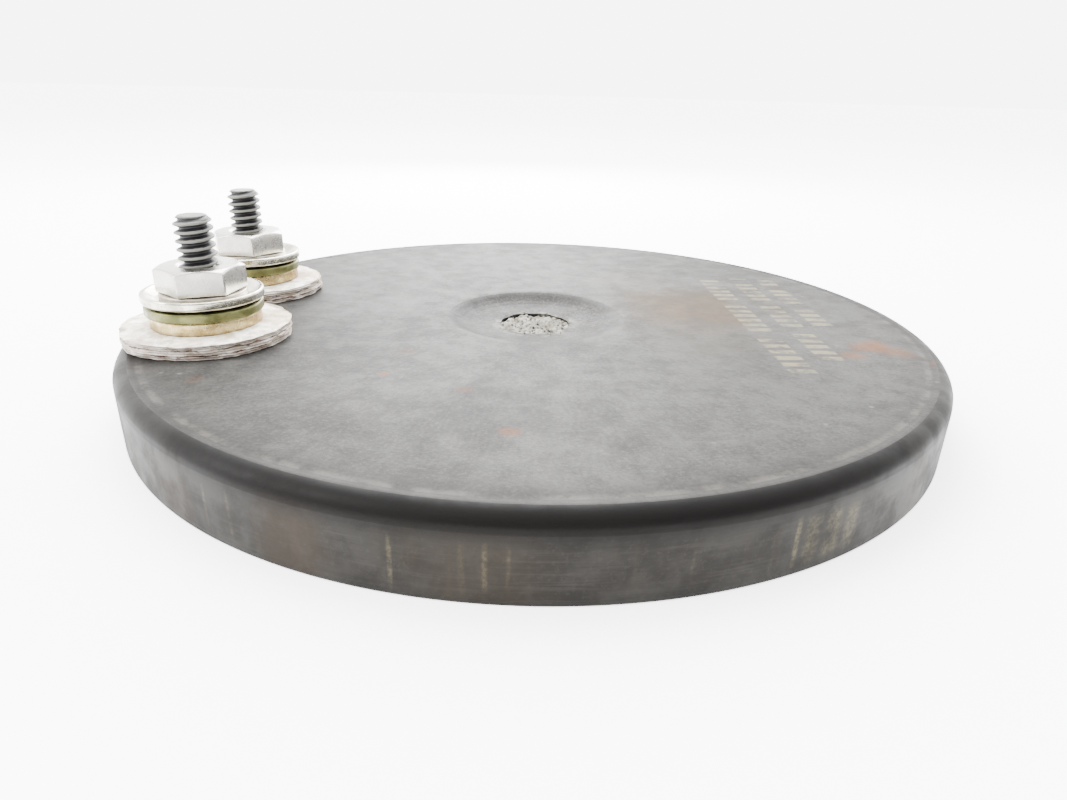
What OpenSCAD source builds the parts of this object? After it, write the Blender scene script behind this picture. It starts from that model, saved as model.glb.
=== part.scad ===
// Round disc heater: a sheet-steel case filled with refractory around a resistance coil,
// with two screw terminals near the rim of the top face.
// Origin: centre of the flat working face. +Z points up, towards the terminals. Millimetres.

/* [Case] */
// Outer diameter of the round case
case_d = 111.125; // [110:0.125:125]
// Height of the case from the working face to the top face
case_h = 8.9; // [8.7:0.1:10.5]
// Thickness of the steel sheet of the shell and the base plate
sheet_t = 1.2; // [1.1:0.05:1.3]
// Outer radius of the rounded top edge
edge_r = 1.5; // [1.4:0.1:2]

/* [Centre dimple] */
// Diameter of the dimple where it meets the top face
dimple_d = 25.6; // [24.2:0.2:29]
// Depth of the dimple below the top face
dimple_depth = 1.5; // [1.1:0.1:1.7]
// Diameter of the hole in the dimple, where the refractory shows
centre_hole_d = 10.2; // [8:0.2:10.8]

/* [Terminals] */
// Distance from the centre of the disc to the middle of the pair of studs
stud_offset = 43.9; // [43.5:0.1:44.2]
// Distance between the two studs
stud_spacing = 23.7; // [22.8:0.1:24.2]
// Turn of the pair of studs about its own middle, away from square to the radius
pair_turn = 4; // [0:0.5:5]
// Outside diameter of the stud thread
stud_d = 4.65; // [4.6:0.01:4.8]
// Height of the stud ends above the top face
stud_rise = 15.5; // [14.5:0.1:17.5]
// Width of the hexagon nuts across the flats
nut_af = 9.525; // [9.2:0.025:9.6]
// Height of the hexagon nuts
nut_h = 3.2; // [2.95:0.05:3.3]

/* [Washers] */
// Diameter of the outer mica washers
mica_d = 21.2; // [20.2:0.1:22]
// Thickness of the outer mica washers
mica_t = 2; // [1.6:0.1:2.2]
// Diameter of the plain washers on the mica
plain_d = 13.9; // [12.8:0.1:14.3]
// Diameter of the tarnished lead washers
lead_washer_d = 14.5; // [13.5:0.1:14.8]
// Diameter of the cup washers over the rim
cup_d = 14.8; // [14.6:0.1:15.6]
// Height of the cup washers
cup_h = 1.55; // [1.35:0.05:1.6]
// Diameter of the spacer washers under the nuts
spacer_d = 10.8; // [10.2:0.1:11.2]

/* [Heating coil] */
// Outside diameter of the wound coil
coil_d = 4; // [3.5:0.1:4]
// Diameter of the resistance wire
wire_d = 0.8; // [0.7:0.05:0.9]
// Distance between the turns of the coil
coil_pitch = 5.4; // [4.9:0.1:8]
// Radius of the outermost run of the coil
coil_run_r = 45.8; // [45.2:0.1:46.4]
// Distance between neighbouring runs of the coil
coil_run_gap = 9.4; // [8.8:0.1:9.4]

/* [Hidden] */
$fn = 96;
case_r = case_d / 2;
top_z = case_h;
under_top_z = case_h - sheet_t;
fill_gap = 0.03;
fill_r = case_r - sheet_t - fill_gap;
// Circles of the dimple: a large upper circle, a smaller flat floor
dimple_r = dimple_d / 2;
dimple_floor_r = dimple_r - 6;
centre_hole_r = centre_hole_d / 2;
dimple_floor_z = top_z - dimple_depth;
dimple_under_z = dimple_floor_z - sheet_t;
dimple_gap = 0.07;
// Refractory that fills the hole in the dimple, a little below the sheet
plug_r = centre_hole_r - 0.07;
plug_z = dimple_floor_z - 0.7;

// Terminal stack, heights measured from the top face of the case
plain_t = 1.55;
lead_washer_t = 1.2;
cup_sheet_t = 0.65;
spacer_t = 0.8;
mica_z = top_z;
plain_z = mica_z + mica_t;
lead_washer_z = plain_z + plain_t;
cup_z = lead_washer_z + lead_washer_t;
spacer_z = cup_z + cup_sheet_t;
nut_z = spacer_z + spacer_t;
stud_end_z = top_z + stud_rise;
stud_r = stud_d / 2;
nut_bore_r = stud_r + 0.07;
sliding_bore_r = stud_r + 0.1;
fixed_bore_r = stud_r + 0.1;
loose_bore_r = stud_r + 0.27;
stud_chamfer = 0.65;
// One valley of the stud's 60 degree thread, just above the nut, below the free end
thread_pitch = 25.4 / 24;
valley_w = thread_pitch * 7 / 8;
valley_depth = thread_pitch * 0.6134;
valley_flank = valley_depth * tan(30);
valley_z = nut_z + nut_h + 0.07;
free_end_z = valley_z + valley_w;
nut_corner_r = nut_af / 2 / cos(30);
nut_chamfer_h = 0.45;
// Turn of each nut about its stud at rest, front and rear
nut_turn = [20, 54];

// Inner end of each terminal
inner_mica_d = 14;
inner_mica_t = 1.35;
inner_mica_z = under_top_z - inner_mica_t;
eyelet_t = 0.55;
eyelet_d = 8.6;
eyelet_z = inner_mica_z - eyelet_t;
head_t = 1.2;
head_d = 8.6;
head_z = eyelet_z - head_t;
bush_r = 3.6;
bush_fit = 0.07;
bush_z = inner_mica_z + 0.14;
bush_top_z = plain_z - 0.27;
shell_hole_r = bush_r + 0.4;

// Runs of the coil through the refractory, seen from above
coil_z = 4.3;
bed_z = sheet_t;
tunnel_r = coil_d / 2 + 0.35;
// Extra angle of channel past the two free ends of the coil
end_room = 2;
// Direction of the rear stud, measured from the -X axis
stud_angle = atan2(stud_place(1)[1], -stud_place(1)[0]);
run_end = 29;
run_from = -180 + run_end;
run_to = 180 - run_end;
run_sweep = run_to - run_from;
inner_sweep = 360 - run_end - stud_angle;
turn_r = coil_run_gap / 2;
// Radii of the three runs, outermost first
run_r = [coil_run_r, coil_run_r - coil_run_gap, coil_run_r - 2 * coil_run_gap];
// Length of each stretch: run, turn, run, turn, run
stretch = [
    run_r[0] * run_sweep * PI / 180,
    turn_r * PI,
    run_r[1] * run_sweep * PI / 180,
    turn_r * PI,
    run_r[2] * inner_sweep * PI / 180
];
// Distance along the coil at which each stretch begins
begin = [for (i = [0:5]) i == 0 ? 0 : sum_of(stretch, i - 1)];
coil_len = begin[5];
turn_steps = 6;
wire_sides = 4;
winding_r = (coil_d - wire_d) / 2;
coil_rings = round(coil_len / coil_pitch * turn_steps);
lead_w = 1.9;
lead_clearance = 0.14;

// Sum of list entries 0 to last
function sum_of(list, last) = last < 0 ? 0 : list[last] + sum_of(list, last - 1);

// Side of a terminal: -1 for the front one, +1 for the rear one
function stud_place(side) =
    let (half = side * stud_spacing / 2)
    [-stud_offset - half * sin(pair_turn), half * cos(pair_turn), 0];

function on_circle(r, angle) = [r * cos(angle), r * sin(angle)];

// Point and heading of the coil's centre line, [x, y, heading], at a distance along it
function on_run(r, angle, direction) = [each on_circle(r, angle), angle + 90 * direction];

function on_turn(hub_angle, hub_r, along, direction) =
    let (swept = along / turn_r * 180 / PI,
         angle = hub_angle + direction * swept,
         hub = on_circle(hub_r, hub_angle))
    [each (hub + on_circle(turn_r, angle)), angle + 90 * direction];

function coil_route(s) =
    s < begin[1] ? on_run(run_r[0], run_from + s / run_r[0] * 180 / PI, 1)
    : s < begin[2] ? on_turn(run_to, run_r[0] - turn_r, s - begin[1], 1)
    : s < begin[3] ? on_run(run_r[1], run_to - (s - begin[2]) / run_r[1] * 180 / PI, -1)
    : s < begin[4] ? inner_turn(s - begin[3])
    : on_run(run_r[2], run_from + (s - begin[4]) / run_r[2] * 180 / PI, 1);

function inner_turn(along) = on_turn(run_from, run_r[1] - turn_r, along, -1);

// Point of the winding around the centre line
function winding_point(s) =
    let (route = coil_route(s),
         phase = s / coil_pitch * 360,
         across = on_circle(1, route[2] + 90) * winding_r * cos(phase))
    [route[0] + across[0], route[1] + across[1], coil_z + winding_r * sin(phase)];

function unit(v) = v / norm(v);

// Ring of points around the wire, square to it
function wire_ring(s) =
    let (here = winding_point(s),
         ahead = unit(winding_point(min(s + 0.05, coil_len)) - winding_point(max(s - 0.05, 0))),
         side_a = unit(cross(ahead, [0, 0, 1] + 0.3 * unit([here[0], here[1], 0]))),
         side_b = cross(ahead, side_a))
    [for (k = [0:wire_sides - 1])
        here + wire_d / 2 * (side_a * cos(360 * k / wire_sides)
                             + side_b * sin(360 * k / wire_sides))];

// Flat ring standing on z
module washer(outer_d, bore_r, z, t) {
    translate([0, 0, z]) difference() {
        cylinder(d = outer_d, h = t);
        translate([0, 0, -1]) cylinder(r = bore_r, h = t + 2);
    }
}

module at_terminal(side) {
    translate(stud_place(side)) children();
}

module at_both_terminals() {
    for (side = [-1, 1]) at_terminal(side) children();
}

// Drawn steel case: top face with its dimple, rounded edge and side wall, open below
module shell() {
    inner_edge_r = edge_r - sheet_t;
    color([0.50, 0.49, 0.47]) difference() {
        rotate_extrude() difference() {
            union() {
                square([case_r, top_z - edge_r]);
                square([case_r - edge_r, top_z]);
                translate([case_r - edge_r, top_z - edge_r]) circle(r = edge_r);
            }
            // Space inside the case
            difference() {
                translate([0, -1]) union() {
                    square([case_r - sheet_t, under_top_z - inner_edge_r + 1]);
                    square([case_r - edge_r, under_top_z + 1]);
                }
                dimple_section(sheet_t);
            }
            translate([case_r - edge_r, under_top_z - inner_edge_r])
                circle(r = inner_edge_r);
            // Hollow of the dimple
            polygon([
                [-1, dimple_floor_z], [dimple_floor_r, dimple_floor_z],
                [dimple_r, top_z], [dimple_r, top_z + 1], [-1, top_z + 1]
            ]);
        }
        translate([0, 0, -1]) cylinder(r = centre_hole_r, h = case_h + 2);
        at_both_terminals() cylinder(r = shell_hole_r, h = case_h + 1);
    }
}

// Half outline of the dimple's sheet, thick below the top face's underside
module dimple_section(t) {
    polygon([
        [0, dimple_floor_z - t], [dimple_floor_r + 0.27, dimple_floor_z - t],
        [dimple_r + 0.27, under_top_z], [dimple_r + 0.27, top_z], [0, top_z]
    ]);
}

// Flat working face, seated inside the rim of the shell
module base_plate() {
    color([0.40, 0.39, 0.38]) cylinder(r = fill_r, h = sheet_t);
}

// Outline of the channel that the coil lies in, seen from above
module channel_outline() {
    for (i = [0:2]) intersection() {
        difference() {
            circle(r = run_r[i] + tunnel_r);
            circle(r = run_r[i] - tunnel_r);
        }
        sector(run_from - (i == 0 ? end_room : 0),
               i == 2 ? 180 - stud_angle + end_room : run_to);
    }
    turn_outline(run_to, run_r[0] - turn_r, 0);
    turn_outline(run_from, run_r[1] - turn_r, 180);
}

// Large wedge between two directions, counted counter-clockwise
module sector(from, to) {
    reach = 3 * case_r;
    polygon([
        [0, 0],
        for (k = [0:4]) on_circle(reach, from + (to - from) * k / 4)
    ]);
}

// Square pocket past the ends of two runs, where the coil turns back
module turn_outline(hub_angle, hub_r, start) {
    half = turn_r + tunnel_r + 0.4;
    translate(on_circle(hub_r, hub_angle)) rotate(hub_angle + start)
        translate([-half, -1]) square([2 * half, half + 1]);
}

module coil_channel() {
    translate([0, 0, coil_z - tunnel_r]) linear_extrude(2 * tunnel_r) channel_outline();
}

// Moulded refractory under the coil's centre plane
module refractory_bed() {
    color([0.86, 0.84, 0.78]) difference() {
        translate([0, 0, bed_z]) cylinder(r = fill_r, h = coil_z - bed_z);
        coil_channel();
    }
}

// Moulded refractory over the coil, shaped to the dimple and the terminals
module refractory_cover() {
    color([0.88, 0.86, 0.80]) difference() {
        intersection() {
            translate([0, 0, coil_z])
                cylinder(r = fill_r - edge_r + sheet_t, h = under_top_z - coil_z);
            cylinder(r = fill_r, h = case_h);
        }
        coil_channel();
        // Room for the dimple
        rotate_extrude() polygon([
            [plug_r, case_h], [plug_r, dimple_under_z - dimple_gap],
            [dimple_floor_r + 0.27, dimple_under_z - dimple_gap],
            [dimple_r + 0.27, under_top_z - dimple_gap], [dimple_r + 0.27, case_h]
        ]);
        translate([0, 0, plug_z]) cylinder(r = dimple_r, h = case_h);
        at_both_terminals() {
            translate([0, 0, inner_mica_z]) cylinder(d = inner_mica_d + 0.14, h = case_h);
            translate([0, 0, coil_z - 1]) cylinder(d = eyelet_d + 0.5, h = case_h);
        }
        lead_slot(-1);
        lead_slot(1);
    }
}

// Resistance wire wound into a helix, laid in three runs
module resistance_coil() {
    rings = [for (i = [0:coil_rings]) wire_ring(coil_len * i / coil_rings)];
    points = [for (ring = rings) each ring];
    n = wire_sides;
    last = coil_rings * n;
    walls = [
        for (i = [0:coil_rings - 1]) for (k = [0:n - 1])
            let (a = i * n + k, b = i * n + (k + 1) % n)
            each [[a, a + n, b], [b, a + n, b + n]]
    ];
    start_cap = [for (k = [1:n - 2]) [0, k, k + 1]];
    end_cap = [for (k = [1:n - 2]) [last, last + k + 1, last + k]];
    color([0.45, 0.42, 0.40])
        polyhedron(points = points, faces = concat(walls, start_cap, end_cap), convexity = 10);
}

// Outline of the strip from a stud's eyelet to the end of the coil, grown by extra
module strip_outline(side, extra) {
    stud_at = stud_place(side);
    end_at = side < 0 ? on_circle(run_r[0], run_from) : on_circle(run_r[2], 180 - stud_angle);
    reach = [end_at[0] - stud_at[0], end_at[1] - stud_at[1]];
    inset = eyelet_d / 2 - 1.1;
    rotate(atan2(reach[1], reach[0])) translate([inset, -lead_w / 2 - extra])
        square([norm(reach) - wire_d - inset + extra, lead_w + 2 * extra]);
}

// Slot for the strip, open down to the coil
module lead_slot(side) {
    at_terminal(side) translate([0, 0, coil_z - 1])
        linear_extrude(eyelet_z + eyelet_t - coil_z + 1) strip_outline(side, lead_clearance);
}

module coil_lead(side) {
    color([0.62, 0.60, 0.56]) at_terminal(side) translate([0, 0, eyelet_z])
        linear_extrude(eyelet_t) difference() {
            union() {
                circle(d = eyelet_d);
                strip_outline(side, 0);
            }
            circle(r = fixed_bore_r);
        }
}

// Terminal stud, turned in one piece, with its flat head inside the case
module stud() {
    root_r = stud_r - valley_depth;
    color([0.16, 0.15, 0.15]) rotate_extrude() polygon([
        [0, head_z], [head_d / 2, head_z], [head_d / 2, head_z + head_t],
        [stud_r, head_z + head_t], [stud_r, valley_z], [root_r, valley_z + valley_flank],
        [root_r, free_end_z - valley_flank], [stud_r, free_end_z],
        [stud_r, stud_end_z - stud_chamfer], [stud_r - stud_chamfer, stud_end_z],
        [0, stud_end_z]
    ]);
}

// Insulating tube between the stud and the hole in the case
module bushing() {
    color([0.90, 0.88, 0.82])
        washer(2 * bush_r, fixed_bore_r, bush_z, bush_top_z - bush_z);
}

module inner_mica() {
    color([0.80, 0.74, 0.66])
        difference() {
            washer(inner_mica_d, fixed_bore_r, inner_mica_z, inner_mica_t);
            translate([0, 0, bush_z]) cylinder(r = bush_r + bush_fit, h = inner_mica_t);
        }
}

module mica_washer() {
    color([0.85, 0.80, 0.74])
        difference() {
            washer(mica_d, fixed_bore_r, mica_z, mica_t);
            translate([0, 0, mica_z - 1])
                cylinder(r = bush_r + bush_fit, h = bush_top_z - mica_z + 1);
        }
}

module plain_washer() {
    color([0.75, 0.68, 0.50]) washer(plain_d, loose_bore_r, plain_z, plain_t);
}

module lead_washer() {
    color([0.48, 0.50, 0.33]) washer(lead_washer_d, loose_bore_r, lead_washer_z, lead_washer_t);
}

// Dished washer: flat floor and a rim that turns up
module cup_washer() {
    floor_r = cup_d / 2 - 1.5;
    rim_lift = 0.35;
    color([0.82, 0.80, 0.76]) translate([0, 0, cup_z]) rotate_extrude() polygon([
        [sliding_bore_r, 0], [floor_r, 0], [cup_d / 2 - 0.2, rim_lift],
        [cup_d / 2, rim_lift + 0.27], [cup_d / 2, cup_h - 0.13], [cup_d / 2 - 0.2, cup_h],
        [cup_d / 2 - 0.6, cup_h], [spacer_d / 2 + 0.2, cup_sheet_t],
        [sliding_bore_r, cup_sheet_t]
    ]);
}

module spacer_washer() {
    color([0.80, 0.77, 0.72]) washer(spacer_d, sliding_bore_r, spacer_z, spacer_t);
}

// Hexagon nut with its upper corners turned off at an angle
module hex_nut(turn) {
    color([0.83, 0.82, 0.80]) translate([0, 0, nut_z]) difference() {
        intersection() {
            rotate([0, 0, turn]) cylinder(r = nut_corner_r, h = nut_h, $fn = 6);
            rotate_extrude() polygon([
                [0, 0], [nut_corner_r + 0.05, 0],
                [nut_corner_r + 0.05, nut_h - nut_chamfer_h],
                [nut_af / 2 - 0.13, nut_h], [0, nut_h]
            ]);
        }
        translate([0, 0, -1]) cylinder(r = nut_bore_r, h = nut_h + 2);
    }
}

shell();
base_plate();
refractory_bed();
refractory_cover();
resistance_coil();
coil_lead(-1);  // coil_lead_front
coil_lead(1);  // coil_lead_rear
at_terminal(-1) stud();  // stud_front
at_terminal(1) stud();  // stud_rear
at_terminal(-1) bushing();  // bushing_front
at_terminal(1) bushing();  // bushing_rear
at_terminal(-1) inner_mica();  // inner_mica_front
at_terminal(1) inner_mica();  // inner_mica_rear
at_terminal(-1) mica_washer();  // mica_washer_front
at_terminal(1) mica_washer();  // mica_washer_rear
at_terminal(-1) plain_washer();  // plain_washer_front
at_terminal(1) plain_washer();  // plain_washer_rear
at_terminal(-1) lead_washer();  // lead_washer_front
at_terminal(1) lead_washer();  // lead_washer_rear
at_terminal(-1) cup_washer();  // cup_washer_front
at_terminal(1) cup_washer();  // cup_washer_rear
at_terminal(-1) spacer_washer();  // spacer_washer_front
at_terminal(1) spacer_washer();  // spacer_washer_rear
at_terminal(-1) hex_nut(nut_turn[0]);  // hex_nut_front
at_terminal(1) hex_nut(nut_turn[1]);  // hex_nut_rear
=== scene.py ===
"""Looks of a round disc heater with two screw terminals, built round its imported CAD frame.

Lengths in this script are in its own unit, of which the radius of the case is 41.275; the mesh
builders turn them into metres. Places come from the frame's boxes. Measures that a box doesn't
show, such as those of the dimple and the thread, are repeated from the CAD in millimetres.
"""
import math

import bmesh
import bpy
import numpy as np
from mathutils import Matrix, Vector


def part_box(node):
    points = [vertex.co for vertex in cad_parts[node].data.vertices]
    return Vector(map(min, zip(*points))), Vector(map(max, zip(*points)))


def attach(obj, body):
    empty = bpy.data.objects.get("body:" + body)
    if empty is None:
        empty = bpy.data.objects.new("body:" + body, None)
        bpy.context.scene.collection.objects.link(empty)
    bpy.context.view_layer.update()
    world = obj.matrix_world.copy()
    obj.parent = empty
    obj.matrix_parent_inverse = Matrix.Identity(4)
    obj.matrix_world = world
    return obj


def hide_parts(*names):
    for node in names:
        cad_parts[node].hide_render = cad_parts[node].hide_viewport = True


# One unit of this script in metres, and one millimetre in those units
UNIT = 0.0555625 / 41.275
MM = 0.001 / UNIT
SEED = 7
SIDES = ("front", "rear")

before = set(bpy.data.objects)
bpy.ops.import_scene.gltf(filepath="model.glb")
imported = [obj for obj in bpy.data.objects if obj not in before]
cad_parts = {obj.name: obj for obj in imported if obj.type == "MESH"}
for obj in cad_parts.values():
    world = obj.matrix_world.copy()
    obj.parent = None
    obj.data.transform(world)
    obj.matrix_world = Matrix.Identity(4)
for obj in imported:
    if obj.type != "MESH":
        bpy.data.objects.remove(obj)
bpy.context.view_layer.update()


# ---------------------------------------------------------------- measures from the frame

def node_box(node):
    """Lowest and highest corner of a CAD node."""
    low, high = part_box(node)
    return np.array(low) / UNIT, np.array(high) / UNIT


def stud_axis(side):
    """Centre of a terminal stud seen from above."""
    low, high = node_box(f"stud_{side}")
    return (low[:2] + high[:2]) / 2


def ring_of(node):
    """Outer radius, lowest z and highest z of a round CAD node."""
    low, high = node_box(node)
    return (high[0] - low[0]) / 2, low[2], high[2]


CASE_R = node_box("shell")[1][0]
CASE_TOP = node_box("shell")[1][2]
SHEET_T = node_box("base_plate")[1][2]
# Visible radius of the edge of the case, a little softer than in the CAD
EDGE_R = 1.45
DIMPLE_R = 12.8 * MM
DIMPLE_DEPTH = 1.5 * MM
HOLE_R = 5.1 * MM
SHELL_HOLE_R = 3.0
HEAD_T = 1.2 * MM
THREAD_PITCH = 25.4 / 24 * MM
THREAD_DEPTH = 0.48
# Plain length of a stud between its head and its thread
SHANK_LENGTH = 1.2
STUD_R = 2.325 * MM
CUP_SHEET_T = 0.65 * MM
NUT_FLAT = 9.525 / 2 * MM
NUT_TURN = {"front": 20.0, "rear": 54.0}
NUT_CHAMFER_ANGLE = 26
# Profile of the dimple: distance from the centre, depth below the top face
DIMPLE_PROFILE = (
    (HOLE_R, 1.10), (4.6, 1.08), (6.0, 1.01), (7.1, 0.89), (7.9, 0.70), (8.5, 0.47),
    (9.0, 0.24), (9.5, 0.06), (9.9, 0.0),
)
# Points round each kind of turned piece
CASE_SEGMENTS = 384
MICA_SEGMENTS = 320
NUT_SEGMENTS = 288
CUP_SEGMENTS = 192
BASE_SEGMENTS = 192
WASHER_SEGMENTS = 160
STUD_SEGMENTS = 96
PUNCH_SEGMENTS = 48
FLOOR_SEGMENTS = 96
# Grains of refractory lying in the hole of the dimple and on its rim
LOOSE_GRAINS = 150

# Light given off by the floor, and brightness of the surround in front of and behind the object
FLOOR_GLOW = 2.6
WORLD_DIM = 0.45
WORLD_BRIGHT = 7.0
# Soft lamps: name, place, target, size, power
LAMPS = (
    ("overhead", (-60, 200, 420), (0, 0, 0), 300, 9.0),
    ("back_soft", (-10, 175, 115), (0, 20, 0), 150, 2.5),
    ("left_soft", (-380, -120, 260), (0, 0, 5), 200, 5.4),
)

# Camera: distance and height from the centre of the working face in case radii, angles in
# degrees, and focal length as a share of the sensor's width
CAMERA_BACK = 1.8734
CAMERA_UP = 0.713
CAMERA_PITCH = 23.214
CAMERA_ROLL = 1.506
CAMERA_TURN = -2.31
CAMERA_YAW = 0.061
FOCAL_SHARE = 0.68004
SENSOR = 36.0


# ---------------------------------------------------------------- smooth repeatable noise

def wave_noise(points, scale, octaves=4, seed=0):
    """Smooth noise between about -1 and 1 at an array of points, from sums of sine waves."""
    gen = np.random.default_rng(seed)
    total = np.zeros(len(points))
    strength = 1.0
    norm = 0.0
    for octave in range(octaves):
        freq = scale * 2.0 ** octave
        for _ in range(5):
            heading = gen.normal(size=3)
            heading /= np.linalg.norm(heading)
            phase = gen.uniform(0, 2 * math.pi)
            stretch = gen.uniform(0.6, 1.4)
            total += strength * np.sin(points @ heading * freq * stretch * 2 * math.pi + phase)
        norm += strength * 5 ** 0.5
        strength *= 0.55
    return total / norm


# ---------------------------------------------------------------- mesh builders

def make_object(name, points, faces, material, smooth_angle=35.0):
    mesh = bpy.data.meshes.new(name)
    mesh.from_pydata((np.asarray(points) * UNIT).tolist(), [], faces)
    mesh.validate()
    mesh.update()
    obj = bpy.data.objects.new(name, mesh)
    bpy.context.scene.collection.objects.link(obj)
    obj.data.materials.append(material)
    for polygon in mesh.polygons:
        polygon.use_smooth = True
    mesh.set_sharp_from_angle(angle=math.radians(smooth_angle))
    return obj


def grid_faces(rows, columns):
    """Quads of a grid that closes on itself both ways."""
    faces = []
    for i in range(rows):
        j = (i + 1) % rows
        for k in range(columns):
            m = (k + 1) % columns
            faces.append((i * columns + k, j * columns + k, j * columns + m, i * columns + m))
    return faces


def rounded(profile, radius, steps=4):
    """Closed outline with its corners rounded. A point may give its own radius as third value."""
    result = []
    count = len(profile)
    for i in range(count):
        here = np.array(profile[i][:2], float)
        size = profile[i][2] if len(profile[i]) > 2 else radius
        before = np.array(profile[i - 1][:2], float)
        after = np.array(profile[(i + 1) % count][:2], float)
        to_before = (before - here) / np.linalg.norm(before - here)
        to_after = (after - here) / np.linalg.norm(after - here)
        reach = min(size, np.linalg.norm(before - here) * 0.45, np.linalg.norm(after - here) * 0.45)
        if reach < 1e-4:
            result.append(here)
            continue
        start = here + to_before * reach
        end = here + to_after * reach
        for step in range(steps + 1):
            t = step / steps
            result.append((1 - t) ** 2 * start + 2 * t * (1 - t) * here + t * t * end)
    return np.array(result)


def spread(outline, spacing):
    """Closed outline with points added so that none are further apart than spacing."""
    result = []
    for i in range(len(outline)):
        a = outline[i]
        b = outline[(i + 1) % len(outline)]
        parts = max(1, int(math.ceil(np.linalg.norm(b - a) / spacing)))
        for step in range(parts):
            result.append(a + (b - a) * step / parts)
    return np.array(result)


def lathe_points(outline, segments, centre=(0.0, 0.0)):
    """Rows of points, one row for each outline point, turned about a vertical axis."""
    angle = np.linspace(0, 2 * math.pi, segments, endpoint=False)
    radius = outline[:, 0][:, None]
    x = centre[0] + radius * np.cos(angle)[None, :]
    y = centre[1] + radius * np.sin(angle)[None, :]
    z = np.repeat(outline[:, 1][:, None], segments, axis=1)
    return np.stack([x, y, z], -1).reshape(-1, 3)


def lathe(name, outline, segments, centre, material, shape=None, smooth_angle=35.0):
    """Turned ring. shape(points) may move the points before the mesh is made."""
    points = lathe_points(outline, segments, centre)
    if shape:
        points = shape(points)
    return make_object(name, points, grid_faces(len(outline), segments), material, smooth_angle)


# ---------------------------------------------------------------- node graph helper

class Graph:
    """Short names for the nodes that the materials are made of."""

    def __init__(self, name):
        self.material = bpy.data.materials.new(name)
        self.material.use_nodes = True
        self.tree = self.material.node_tree
        self.shader = self.tree.nodes["Principled BSDF"]
        coords = self.tree.nodes.new("ShaderNodeTexCoord")
        self.place = self.vector("SCALE", coords.outputs["Object"], scale=1 / UNIT)
        split = self.tree.nodes.new("ShaderNodeSeparateXYZ")
        self.link(self.place, split.inputs[0])
        self.x, self.y, self.z = split.outputs

    def link(self, source, target):
        self.tree.links.new(source, target)

    def feed(self, value, socket):
        if isinstance(value, bpy.types.NodeSocket):
            self.link(value, socket)
        else:
            socket.default_value = value

    def math(self, operation, a, b=0.0, c=0.0):
        node = self.tree.nodes.new("ShaderNodeMath")
        node.operation = operation
        for value, socket in zip((a, b, c), node.inputs):
            self.feed(value, socket)
        return node.outputs[0]

    def vector(self, operation, a, b=(0, 0, 0), scale=1.0):
        node = self.tree.nodes.new("ShaderNodeVectorMath")
        node.operation = operation
        self.feed(a, node.inputs[0])
        self.feed(b, node.inputs[1])
        if operation == "SCALE":
            self.feed(scale, node.inputs["Scale"])
        return node.outputs["Value"] if operation == "DISTANCE" else node.outputs[0]

    def noise(self, scale, detail=4.0, rough=0.55, place=None, distortion=0.0):
        node = self.tree.nodes.new("ShaderNodeTexNoise")
        self.link(place or self.place, node.inputs["Vector"])
        node.inputs["Scale"].default_value = scale
        node.inputs["Detail"].default_value = detail
        node.inputs["Roughness"].default_value = rough
        node.inputs["Distortion"].default_value = distortion
        return node.outputs["Fac"]

    def cells(self, scale):
        """Distance to the nearest of many scattered points."""
        node = self.tree.nodes.new("ShaderNodeTexVoronoi")
        self.link(self.place, node.inputs["Vector"])
        node.inputs["Scale"].default_value = scale
        return node.outputs["Distance"]

    def stretched(self, sx, sy, sz):
        return self.vector("MULTIPLY", self.place, (sx, sy, sz))

    def step(self, value, low, high, out_low=0.0, out_high=1.0):
        """Smooth step from out_low at low to out_high at high."""
        node = self.tree.nodes.new("ShaderNodeMapRange")
        node.interpolation_type = "SMOOTHSTEP"
        for item, socket in zip((value, low, high, out_low, out_high), node.inputs):
            self.feed(item, socket)
        return node.outputs[0]

    def mix(self, factor, a, b):
        node = self.tree.nodes.new("ShaderNodeMix")
        node.data_type = "RGBA"
        sockets = [s for s in node.inputs if s.type == "RGBA"]
        self.feed(factor, node.inputs[0])
        self.feed((*a, 1.0) if isinstance(a, tuple) else a, sockets[0])
        self.feed((*b, 1.0) if isinstance(b, tuple) else b, sockets[1])
        return [s for s in node.outputs if s.type == "RGBA"][0]

    def shade(self, color, amount):
        """The same colour made darker or lighter."""
        return self.vector("SCALE", color, scale=amount)

    def product(self, *values):
        result = values[0]
        for value in values[1:]:
            result = self.math("MULTIPLY", result, value)
        return result

    def largest(self, *values):
        result = values[0]
        for value in values[1:]:
            result = self.math("MAXIMUM", result, value)
        return result

    def reach(self, centre):
        """Distance from a vertical axis."""
        flat = self.vector("MULTIPLY", self.place, (1, 1, 0))
        return self.vector("DISTANCE", flat, (centre[0], centre[1], 0))

    def spot(self, centre, radius, ragged, wander):
        """Soft blot round a vertical axis, its edge made ragged by the noise given as wander."""
        edge = self.math("MULTIPLY_ADD", wander, ragged * 2 * radius, -ragged * radius)
        return self.step(self.math("ADD", self.reach(centre), edge), radius * 1.15, radius * 0.35)

    def bump(self, height, depth, strength=1.0, under=None):
        node = self.tree.nodes.new("ShaderNodeBump")
        node.inputs["Strength"].default_value = strength
        node.inputs["Distance"].default_value = depth * UNIT
        self.link(height, node.inputs["Height"])
        if under:
            self.link(under, node.inputs["Normal"])
        return node.outputs[0]

    def finish(self, color, roughness, metallic=0.0, normal=None, **fixed):
        self.feed(color, self.shader.inputs["Base Color"])
        self.feed(roughness, self.shader.inputs["Roughness"])
        self.feed(metallic, self.shader.inputs["Metallic"])
        if normal:
            self.link(normal, self.shader.inputs["Normal"])
        for key, value in fixed.items():
            self.shader.inputs[key.replace("_", " ")].default_value = value
        return self.material


# ---------------------------------------------------------------- materials

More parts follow.
